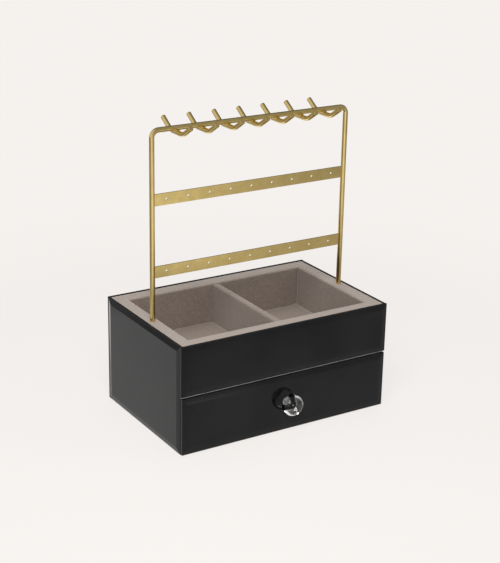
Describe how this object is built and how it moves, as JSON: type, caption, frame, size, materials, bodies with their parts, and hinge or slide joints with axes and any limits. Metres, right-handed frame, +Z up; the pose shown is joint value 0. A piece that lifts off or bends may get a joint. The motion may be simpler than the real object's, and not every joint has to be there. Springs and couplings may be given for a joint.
{
  "type": "jewelry stand with drawer",
  "caption": "Black glass jewellery box with a velvet tray, a drawer with a crystal knob, and a gold wire hoop carrying earring bars and necklace hooks.",
  "frame": {"origin": "centre of the case's underside, on the surface it stands on", "axes": "+X to the right seen from the front, +Y to the back (the drawer opens towards -Y), +Z up"},
  "size_m": [0.2024, 0.1465, 0.2608],
  "materials": {
    "black_glass": "clear glass painted black behind, polished, bevelled edges",
    "board": "medium-density board covered in black paper",
    "velvet": "short-pile grey velvet glued over card",
    "felt": "thin black felt",
    "gold_metal": "satin gold plate",
    "chrome": "polished",
    "crystal": "clear cut crystal",
    "steel": "zinc plated"
  },
  "bodies": {
    "case": {"left_glass": "black_glass", "right_glass": "black_glass", "back_glass": "black_glass", "fascia_glass": "black_glass", "left_board": "board", "right_board": "board", "back_board": "board", "fascia_board": "board", "shelf_board": "board", "base_board": "board", "base_felt": "felt", "tray_lining_front": "velvet", "tray_lining_back": "velvet", "tray_lining_left": "velvet", "tray_lining_right": "velvet", "tray_divider": "velvet", "left_floor_pad": "velvet", "right_floor_pad": "velvet", "hoop": "gold_metal", "upper_bar": "gold_metal", "lower_bar": "gold_metal", "hook_1": "gold_metal", "hook_2": "gold_metal", "hook_3": "gold_metal", "hook_4": "gold_metal", "hook_5": "gold_metal", "hook_6": "gold_metal", "hook_7": "gold_metal"},
    "drawer": {"drawer_front_glass": "black_glass", "drawer_front_board": "board", "drawer_left_side": "board", "drawer_right_side": "board", "drawer_back": "board", "drawer_bottom": "board", "drawer_lining_left": "velvet", "drawer_lining_right": "velvet", "drawer_lining_back": "velvet", "drawer_lining_front": "velvet", "drawer_floor_pad": "velvet", "knob_collar": "chrome", "knob_crystal": "crystal", "knob_screw": "steel"}
  },
  "joints": [
    {"name": "drawer_slide", "type": "slide", "parent": "case", "child": "drawer", "axis": [0, -1, 0], "range_m": [0, 0.095]}
  ]
}
